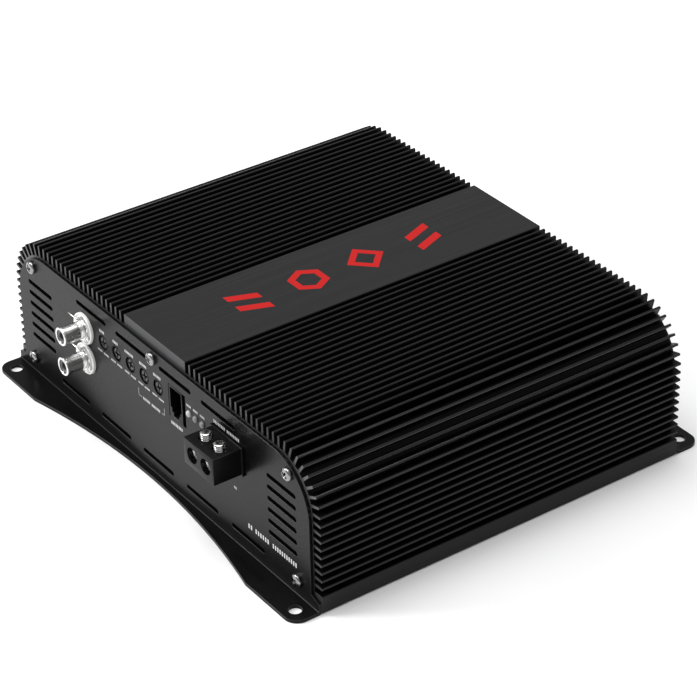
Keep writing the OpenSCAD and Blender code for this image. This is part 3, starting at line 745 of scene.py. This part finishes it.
knob_boxes = [box_mm("trimmer_knob_%d" % i) for i in range(1, 6)]
TRIM_X = [(low.x + high.x) / 2 for low, high in knob_boxes]
TRIM_Z = (knob_boxes[0][0].z + knob_boxes[0][1].z) / 2
TRIM_HOLE = 3.55
JACK = (11.4, 23.9, 37.5, 52.9)
led_low, led_high = box_mm("status_leds")
LED_R = (led_high.z - led_low.z) / 2
LED_Z = (led_high.z + led_low.z) / 2
LED_X = [led_low.x + LED_R, (led_low.x + led_high.x) / 2, led_high.x - LED_R]
shell_low, shell_high = box_mm("phono_shells")
PHONO_X = (shell_low.x + shell_high.x) / 2
RIM_R = (shell_high.x - shell_low.x) / 2
PHONO_Z = [shell_low.z + RIM_R, shell_high.z - RIM_R]
speaker_low, speaker_high = box_mm("speaker_terminal")
supply_low, supply_high = box_mm("supply_terminal")
LIP = 0.7
RIM = 1.2

front_windows = [circle(x, unfolded(TRIM_Z), TRIM_HOLE, 40) for x in TRIM_X]
front_windows += [circle(x, unfolded(LED_Z), LED_R + 0.1, 24) for x in LED_X]
front_windows += [circle(PHONO_X, unfolded(z), 4.0, 32) for z in PHONO_Z]
front_windows.append(window(*JACK))
front_windows.append(socket_window(speaker_low, speaker_high))
rear_windows = [socket_window(supply_low, supply_high)]
end_plate("front_plate_sheet", front_windows, FRONT, "front_plate")
end_plate("rear_plate_sheet", rear_windows, REAR, "rear_plate")
print("holes in the front plate:", len(vent_loops()) + len(front_windows))

# %% [markdown]
# ## Screws
# A pan head is turned from its profile, and the cross recess is cut with two tapered bars.
# A head is made for each place, each turned to its own angle.

# %%
def cross_cutter(reach, width, depth):
    """Two crossed bars that narrow downwards from z = 0."""
    bars = []
    for angle in (0, pi / 2):
        bar = block(-reach, reach, -width / 2, width / 2, -depth, 0.6)
        for vert in bar.verts:
            if vert.co.z < 0:
                vert.co.x *= 0.45
                vert.co.y *= 0.7
        bars.append(moved(bar, Matrix.Rotation(angle, 4, "Z")))
    return bars


HEAD_R = 2.9
HEAD_DOME = 0.95


def pan_screw(angle=0.0):
    steps = [a * pi / 20 for a in range(1, 10)]
    dome = [(HEAD_R * sin(a) ** 0.8, HEAD_DOME + cos(a)) for a in steps]
    profile = [(0, HEAD_DOME + 1.0)] + dome + [(HEAD_R, 0.82), (HEAD_R - 0.02, 0.12), (HEAD_R - 0.12, 0.0)]
    profile += [(1.3, 0.0), (1.3, -8.0), (0, -8.4)]
    raised = Matrix.Translation((0, 0, HEAD_DOME + 1.05))
    recess = [moved(bar, raised) for bar in cross_cutter(2.0, 1.15, 1.7)]
    return moved(cut_away(turned(profile, 40), *recess), Matrix.Rotation(angle, 4, "Z"))


def plate_screws(name, frame_matrix, node):
    turns = (0.35, 1.1, 0.6, 0.15, 0.9)
    heads = [
        moved(pan_screw(angle), frame_matrix @ Matrix.Translation((x, z, 0)))
        for angle, (x, z) in zip(turns, SCREWS)
    ]
    return piece(name, mesh_of(name, *heads), "plated_screw", replaces=[node])


plate_screws("front_screws", FRONT, "front_plate_screws")
plate_screws("rear_screws", REAR, "rear_plate_screws")

cover_low, cover_high = box_mm("bottom_cover")
screw_low, screw_high = box_mm("cover_screws")
COVER_X = (screw_high.x - screw_low.x) / 2 - HEAD_R
COVER_Y = (screw_high.y - screw_low.y) / 2 - HEAD_R
cover_places = [(side * COVER_X, i * COVER_Y) for side in (-1, 1) for i in (-1, 0, 1)]
cover_loops = [box_loop(cover_low.x, cover_high.x, cover_low.y, cover_high.y, 1.0)]
cover_loops += [circle(x, y, 3.05, 32) for x, y in cover_places]
cover = cut_sheet(cover_loops, cover_high.z - cover_low.z, EDGE)
moved(cover, Matrix.Translation((0, 0, cover_low.z)))
piece("cover_sheet", mesh_of("cover_sheet", cover), "painted_sheet", replaces=["bottom_cover"])


def flat_screw(x, y, angle):
    profile = [(0, 0.0), (2.75, 0.0), (HEAD_R, -0.12), (1.6, -1.15), (1.25, -1.3), (1.25, -4.6), (0, -5.0)]
    head = cut_away(turned(profile, 32), *cross_cutter(1.6, 0.85, 1.0))
    moved(head, Matrix.Rotation(pi, 4, "X") @ Matrix.Rotation(angle, 4, "Z"))
    return moved(head, Matrix.Translation((x, y, cover_low.z)))


cover_heads = [flat_screw(x, y, 0.3 + 0.7 * i) for i, (x, y) in enumerate(cover_places)]
cover_head_mesh = mesh_of("cover_screw_heads", *cover_heads)
piece("cover_screw_heads", cover_head_mesh, "black_screw", replaces=["cover_screws"])
print("screws:", 2 * len(SCREWS) + len(cover_places))

# %% [markdown]
# ## Phono sockets
# From the plate outwards: a dished disc, a hex nut, an earth tag with an eye and a wire prong, the
# thread, the smooth barrel and its slightly wider front rim. The thread is a turned part whose radius goes up
# and down with height and angle together, which makes a true helix.

# %%
def hexagon(across, start=0.0):
    """Limits a turned radius to a hexagon."""
    def limit(angle, r, z):
        bent = (angle - start + pi / 6) % (pi / 3) - pi / 6
        return min(r, across / 2 / cos(bent)) - r
    return limit


def helix(pitch, depth, low, high, handed=1):
    """A screw thread between two heights."""
    def wave(angle, r, z):
        if not low < z < high:
            return 0
        phase = (z / pitch - handed * angle / (2 * pi)) % 1
        return -depth * abs(2 * phase - 1)
    return wave


def sector(r0, r1, start, end, z0, z1, count=8):
    """Part of a tube wall about Z."""
    shape = bmesh.new()
    rows = []
    for i in range(count + 1):
        angle = start + (end - start) * i / count
        corners = ((r0, z0), (r1, z0), (r1, z1), (r0, z1))
        rows.append([shape.verts.new((r * cos(angle), r * sin(angle), z)) for r, z in corners])
    for near, far in zip(rows, rows[1:]):
        for i in range(4):
            j = (i + 1) % 4
            shape.faces.new((near[i], near[j], far[j], far[i]))
    shape.faces.new(rows[0][::-1])
    shape.faces.new(rows[-1])
    bmesh.ops.recalc_face_normals(shape, faces=shape.faces)
    return shape


DISC = 0.9
NUT_TOP = 2.3
THREAD_END = 4.2
EYE_R = 3.95
BARREL_R = 3.93
INSIDE_R = 3.3
PIN_R = 1.62
SHELL_BACK = -8.4
PHONO_OUT = -shell_low.y - FACE
disc_profile = [(EYE_R, 0.05), (EYE_R, DISC), (6.1, DISC), (6.25, 1.2), (6.45, 1.42), (6.7, 1.5)]
disc_profile += [(6.92, 1.42), (7.06, 1.2), (7.1, 0.9), (7.1, 0.15), (6.98, 0.02), (EYE_R, 0.02)]
nut_profile = [(EYE_R, DISC), (5.3, DISC), (6.1, 1.15), (6.1, 2.0), (5.2, NUT_TOP), (4.2, NUT_TOP)]
nut_profile += [(EYE_R, 2.2), (EYE_R, DISC)]
thread_rows = [(3.92, SHELL_BACK + i * 0.1) for i in range(int((THREAD_END - SHELL_BACK) / 0.1))]
barrel_rows = [(BARREL_R, THREAD_END + 0.3 + 0.3 * i) for i in range(21)]
shell_profile = [(INSIDE_R, -8.5), (3.7, -8.5)] + thread_rows
shell_profile += [(3.9, THREAD_END), (BARREL_R, THREAD_END + 0.2)] + barrel_rows
shell_profile += [(BARREL_R, 10.75), (BARREL_R + 0.02, 10.8), (4.05, 10.84), (RIM_R, 10.95), (RIM_R, 11.1)]
shell_profile += [(RIM_R, 11.65), (4.12, 11.8), (4.03, 11.92), (3.88, PHONO_OUT), (3.25, PHONO_OUT)]
shell_profile += [(3.1, 11.85), (3.1, 11.5), (INSIDE_R, 11.4), (INSIDE_R, -8.5)]
insert_profile = [(PIN_R, SHELL_BACK), (3.28, SHELL_BACK), (3.28, 11.35), (2.95, 11.4), (2.8, 11.55)]
insert_profile += [(2.05, 11.55), (1.75, 11.35), (PIN_R, 11.0), (PIN_R, SHELL_BACK)]


def earth_tag():
    """A flat ring under the nut, with an eye and prongs that lean away from the plate."""
    ring = cut_sheet([circle(0, 0, 4.8, 36), circle(0, 0, EYE_R, 32)], 0.4, 0.06)
    neck = block(-0.8, 0.8, 4.3, 5.0, 0.0, 0.4, 0.05)
    eye = cut_sheet([circle(0, 0, 1.55, 28), circle(0, 0, 0.55, 16)], 0.5, 0.1)
    moved(eye, Matrix.Translation((0, 1.75, 0)))
    prong = block(-5.2, -0.6, 2.85, 3.35, 0.05, 0.45, 0.1)
    spur = block(-3.1, -1.2, 0.7, 1.15, 0.05, 0.45, 0.1)
    lean = Matrix.Translation((0, 4.4, 0.1)) @ Matrix.Rotation(radians(38), 4, "X")
    flat = [ring, neck] + [moved(part, lean) for part in (eye, prong, spur)]
    return [moved(part, Matrix.Translation((0, 0, NUT_TOP))) for part in flat]


def contact_leaves():
    quarter = pi / 2
    return [sector(1.3, 1.58, i * quarter + 0.2, (i + 1) * quarter - 0.2, SHELL_BACK, 7.0) for i in range(4)]


def phono_shell():
    return turned(shell_profile, 56, helix(0.7, 0.3, -8.0, THREAD_END - 0.15))


for name, look, slot, node, make in (
    ("phono_disc", "satin_nickel", "nickel", "phono_flanges", lambda: [turned(disc_profile, 72)]),
    ("phono_nut", "clamp_steel", "nickel", "phono_nuts", lambda: [turned(nut_profile, 96, hexagon(10.5))]),
    ("phono_tag", "nickel", "nickel", "phono_lugs", earth_tag),
    ("phono_shell", "nickel", "nickel", "phono_shells", lambda: [phono_shell()]),
    ("phono_insert", "grey_nylon", "grey_nylon", "phono_inserts", lambda: [turned(insert_profile, 48)]),
    ("phono_contact", "gold_contact", "gold_contact", "phono_contacts", contact_leaves),
):
    places = [FRONT @ Matrix.Translation((PHONO_X, z, 0)) for z in PHONO_Z]
    shapes = [moved(part, place) for place in places for part in make()]
    piece(name, mesh_of(name, *shapes), look, replaces=[node], sharp=24)
print("phono sockets at", [round(z, 1) for z in PHONO_Z])

# %% [markdown]
# ## Trimmers
# Each trimmer knob sits just inside its hole and turns on its own body. It has a cross recess for
# a small screwdriver, and a chamfered rim. Real ones are never all set alike, so each has its turn.

# %%
def trimmer(number, x, angle):
    name = "trimmer_%d" % number
    profile = [(0, -0.32), (2.15, -0.32), (2.3, -0.42), (2.36, -0.6), (2.36, -1.3), (2.9, -1.3), (2.9, -0.75)]
    profile += [(3.0, -0.6), (3.12, -0.62), (3.2, -0.8), (3.2, -2.6), (1.5, -2.7), (1.5, -5.3), (0, -5.4)]
    knob = cut_away(turned(profile, 48), *cross_cutter(2.6, 1.25, 1.6))
    place = FRONT @ Matrix.Translation((x, TRIM_Z, 0)) @ Matrix.Rotation(angle, 4, "Z")
    body = "trimmer_knob_%d" % number
    return piece(name, mesh_of(name, moved(knob, place)), "knob_plastic", body, [body])


for number, (x, angle) in enumerate(zip(TRIM_X, (0.15, 0.05, -0.25, 0.1, 0.2)), 1):
    trimmer(number, x, angle)
print("trimmers at", [round(x, 1) for x in TRIM_X])

# %% [markdown]
# ## Remote jack and status lights
# The jack is a black box with a stepped keyway for the plug's latch, set to the left in its cut-out.
# The lights are frosted domes with a small collar, each on two legs.

# %%
jack_low, jack_high = box_mm("remote_jack")
JACK_MID = (jack_low.x + jack_high.x) / 2
jack_body = block(jack_low.x, jack_high.x, jack_low.z, jack_high.z, -15.0, 0.0, 0.15)
JACK_DEPTH = 12.0
KEYWAY = ((4.1, 42.4, 52.0), (3.1, 40.4, 42.5), (1.9, 38.7, 40.5))
keyway = [block(JACK_MID - half, JACK_MID + half, low, high, -JACK_DEPTH, 1.0) for half, low, high in KEYWAY]
jack_body = moved(cut_away(jack_body, *keyway), FRONT)
piece("jack_box", mesh_of("jack_box", jack_body), "black_nylon", replaces=["remote_jack"], sharp=25)


LED_DOME = 1.1
LEG_APART = 0.8
LEG_HALF = 0.25


def led(x):
    dome = [(LED_R * cos(a * pi / 20), LED_DOME * sin(a * pi / 20)) for a in range(10)]
    profile = [(0, -4.5), (1.35, -4.5), (1.75, -4.2), (1.75, -3.6), (LED_R, -3.5)] + dome + [(0, LED_DOME)]
    return moved(turned(profile, 36), FRONT @ Matrix.Translation((x, LED_Z, 0)))


def led_legs(x):
    low, high = LED_Z - LEG_HALF, LED_Z + LEG_HALF
    middles = (x - LEG_APART, x + LEG_APART)
    return [moved(block(m - LEG_HALF, m + LEG_HALF, low, high, -9.0, -4.4, 0.05), FRONT) for m in middles]


piece("led_domes", mesh_of("led_domes", *[led(x) for x in LED_X]), "led_lens", replaces=["status_leds"])
leg_mesh = mesh_of("led_legs", *[leg for x in LED_X for leg in led_legs(x)])
piece("led_legs", leg_mesh, "copper_strip")
print("status lights at", [round(x, 1) for x in LED_X])

# %% [markdown]
# ## Wire clamps
# A nylon housing holds one metal block per wire. The wire enters from the front, and the set screw
# above, which stands in a round well, presses a pad on it. One builder makes both terminals.

# %%
def set_screw(r, low, top):
    """A socket set screw about Z, threaded, with a hex socket in its top."""
    rows = int((top - low - 0.5) / 0.08)
    body = [(r, low + 0.25 + (top - low - 0.5) * i / rows) for i in range(rows + 1)]
    profile = [(0, low), (r - 0.35, low)] + body + [(r - 0.12, top - 0.12), (r - 0.4, top), (0, top)]
    screw = turned(profile, 40, helix(0.95, 0.36, low + 0.3, top - 0.5))
    socket = turned([(0, top + 0.5), (r * 0.62, top + 0.5), (r * 0.62, top - 2.4), (0, top - 2.7)], 6)
    return cut_away(screw, socket)


CLAMP_OUT = 13.8
CLAMP_BACK = -9.0
BORE_END = -8.0
FRONT_WALL = 2.5
WELL_FLOOR = 7.0
GAP = 0.02


def rod(r, low, high, count):
    """A closed cylinder about Z."""
    return turned([(0, low), (r, low), (r, high), (0, high)], count)


def terminal(name, low, high, wires, flip):
    """wires is a list of (x, bore radius, screw radius); low and high are the node's box."""
    matrix = REAR if flip else FRONT
    side = -1 if flip else 1
    x0, x1 = sorted((side * low.x, side * high.x))
    x0, x1 = x0 + LIP, x1 - LIP
    z0, z1 = low.z + LIP, high.z - LIP
    axis = (z0 + z1) / 2
    housing = block(x0, x1, z0, z1, 0.0, CLAMP_OUT, 0.3, 3)
    rim = block(x0 - LIP, x1 + LIP, z0 - LIP, z1 + LIP, 0.0, 1.1, 0.25, 3)
    tail = block(x0 + 0.6, x1 - 0.6, z0 + 0.6, z1 - 0.6, CLAMP_BACK, 0.4, 0.1)
    cuts = []
    metal = []
    stops = []
    for x, bore, r in wires:
        half = bore + 1.1
        roof = axis + (z1 - z0) / 2 - 1.3
        crown = axis + bore + 0.5
        foot = axis - bore - 0.9
        front = Matrix.Translation((x, axis, 0))
        well = Matrix.Translation((x, axis, WELL_FLOOR)) @ Matrix.Rotation(-pi / 2, 4, "X")
        inside = CLAMP_OUT - FRONT_WALL
        cuts.append(moved(rod(bore, 10.0, 15.0, 48), front))
        cuts.append(block(x - half, x + half, foot, roof, CLAMP_BACK - 0.5, inside))
        cuts.append(moved(rod(r + 0.85, 0.0, 12.0, 40), well))
        x_low, x_high = x - half + GAP, x + half - GAP
        inner = block(x_low, x_high, foot + GAP, crown, CLAMP_BACK, inside - GAP, 0.1)
        rows = [(bore, BORE_END + 0.12 * i) for i in range(int((CLAMP_OUT - BORE_END) / 0.12))]
        bore_profile = [(0, -9.3), (bore - 0.05, -9.3)] + rows + [(bore, 15.0), (0, 15.0)]
        ribs = turned(bore_profile, 48, helix(0.95, 0.35, BORE_END + 0.5, CLAMP_OUT - 3.0))
        holes = [moved(ribs, front), moved(rod(r + 0.04, 0.0, 12.0, 40), well)]
        metal.append(moved(cut_away(inner, *holes), matrix))
        stop = [(0, -8.9), (bore - 0.1, -8.9), (bore - 0.1, -8.2), (bore - 0.3, BORE_END), (0, BORE_END)]
        stops.append(moved(turned(stop, 32), matrix @ front))
    shell = moved(cut_away(joined(housing, rim, tail), *cuts), matrix)
    housing_mesh = mesh_of(name + "_housing", shell, *stops)
    piece(name + "_housing", housing_mesh, "black_nylon", replaces=[name + "_terminal"])
    piece(name + "_metal", mesh_of(name + "_metal", *metal), "nickel", replaces=[name + "_blocks"], sharp=30)
    for number, (x, bore, r) in enumerate(wires, 1):
        body = "%s_screw_%d" % (name, number)
        bottom, top = box_mm(body)
        screw = set_screw(r, bottom.z, top.z)
        moved(screw, Matrix.Rotation(0.4 * number, 4, "Z"))
        moved(screw, Matrix.Translation(((bottom.x + top.x) / 2, (bottom.y + top.y) / 2, 0)))
        piece(body + "_thread", mesh_of(body, screw), "clamp_steel", body, [body], sharp=30)


SPEAKER_WIRES = [(50.0, 3.5, 2.35), (59.5, 3.5, 2.35)]
SUPPLY_WIRES = [(-12.0, 4.5, 2.9), (3.5, 4.5, 2.9), (14.3, 2.0, 1.5)]
terminal("speaker", speaker_low, speaker_high, SPEAKER_WIRES, False)
terminal("supply", supply_low, supply_high, SUPPLY_WIRES, True)
print("wire clamps:", len(SPEAKER_WIRES) + len(SUPPLY_WIRES))

# %% [markdown]
# ## Printed marks
# Real panels carry lettering here. This one has rows of plain blocks in its place: thin shapes of
# ink on the plate. The plateau has four simple red figures in a row: two slanted bars at each end,
# and a hexagon and a diamond between them.

# %%
def ink(name, loops, look, matrix):
    """Thin printed shapes, each a list of loops in XY."""
    shapes = [moved(cut_sheet(shape, INK, 0), matrix) for shape in loops]
    return piece(name, mesh_of(name, *shapes), look)


def dash(x0, x1, z, width=0.35):
    return [box_loop(x0, x1, z - width / 2, z + width / 2)]


BLOCK_PITCH = 0.72
BLOCK_WIDTH = 0.52


def word(x0, x1, z, high):
    """A row of plain upright blocks, as dense as printed lettering but with nothing to read."""
    count = max(round((x1 - x0) / (high * BLOCK_PITCH)), 1)
    pitch = (x1 - x0) / count
    low, top = z - high / 2, z + high / 2
    starts = [x0 + i * pitch for i in range(count)]
    return [[box_loop(x, x + BLOCK_WIDTH * pitch, low, top, 0.08, 1)] for x in starts]


marks = []
for x, reach in zip(TRIM_X, (2.0, 2.1, 3.4, 2.8, 2.9)):
    marks += word(x - reach - 0.3, x + reach - 0.3, 51.6, 1.3)
    marks += word(x - 4.6, x - 0.9, 41.6, 0.9)
    marks += word(x + 0.1, x + 4.1, 41.5, 0.9)
for x in LED_X:
    marks += word(x - 1.5, x + 1.9, 49.7, 1.0)
for x0, x1, z, high in (
    (12.5, 21.2, 34.9, 1.5), (44.9, 53.3, 52.6, 1.5), (54.3, 63.3, 52.6, 1.5),
    (-9.0, -3.4, 35.1, 1.3), (-2.4, 4.3, 35.1, 1.3), (57.7, 59.9, 28.3, 1.2),
    (67.0, 70.4, 15.0, 2.2), (72.0, 82.0, 15.0, 2.2), (84.0, 101.0, 15.0, 2.2),
):
    marks += word(x0, x1, z, high)
ink("white_marks", marks, "white_ink", FRONT)
bracket = [dash(-12.3, -9.9, 35.1), [box_loop(-12.5, -12.15, 35.0, 38.4)]]
bracket += [[box_loop(7.1, 7.45, 35.0, 38.4)], dash(5.2, 7.3, 35.1)]
ink("grey_marks", bracket, "grey_ink", FRONT)


BAR_WIDE = 4.2
BAR_LONG = 13.5
BAR_X = 4.6


def ring_figure(y, r, corners, width):
    return [circle(0, y, r, corners), circle(0, y, r - width, corners)]


def slanted_bars(y, lean):
    """Two bars beside each other, each a loop of its own."""
    foot, head = BAR_WIDE / 2 + lean, BAR_WIDE / 2 - lean
    return [
        [[(x - foot, y), (x + head, y), (x + foot, y + BAR_LONG), (x - head, y + BAR_LONG)]]
        for x in (-BAR_X, BAR_X)
    ]


figures = slanted_bars(-51.0, 2.6) + slanted_bars(38.0, -2.6)
figures += [ring_figure(-14.5, 9.0, 6, 3.5), ring_figure(14.5, 9.4, 4, 4.0)]
ink("plateau_figures", figures, "red_ink", Matrix.Translation((0, 0, TOP - INK)))
print("printed shapes:", len(marks) + len(bracket) + len(figures))

# %% [markdown]
# ## The stage
# A pale floor and wide soft lights, as for a catalogue. The key light stands to the front left and
# high, so that the plate is brighter at its upper left and the screw heads throw their shadows to
# the right. The floor is big enough to fill the view.

# %%
def floor_material():
    graph = Graph("studio_floor")
    fine = graph.noise(graph.place(), scale=0.02, detail=3)
    graph.colour(graph.mix(fine, (0.86, 0.86, 0.86), (0.90, 0.90, 0.90)))
    graph.put("Roughness", fine * 0.1 + 0.6)
    return graph.material


floor_mesh = bpy.data.meshes.new("floor")
floor_shape = bmesh.new()
bmesh.ops.create_grid(floor_shape, x_segments=24, y_segments=24, size=6)
floor_shape.to_mesh(floor_mesh)
floor_shape.free()
floor_object = bpy.data.objects.new("floor", floor_mesh)
floor_mesh.materials.append(floor_material())
scene.collection.objects.link(floor_object)


def area_light(name, place, aim, size, power):
    data = bpy.data.lights.new(name, "AREA")
    data.shape = "RECTANGLE"
    data.size = size
    data.size_y = size
    data.energy = power
    light = bpy.data.objects.new(name, data)
    light.location = place
    light.rotation_euler = (Vector(aim) - Vector(place)).to_track_quat("-Z", "Y").to_euler()
    scene.collection.objects.link(light)


area_light("key", (-1.2, -1.5, 1.1), (0, 0, 0.03), 0.7, 34)
area_light("top", (-0.2, -0.2, 2.4), (0, 0, 0), 2.2, 60)
world = bpy.data.worlds.new("studio")
world.use_nodes = True
world.node_tree.nodes["Background"].inputs["Color"].default_value = (1, 1, 1, 1)
world.node_tree.nodes["Background"].inputs["Strength"].default_value = 0.42
scene.world = world
scene.view_settings.view_transform = "Standard"
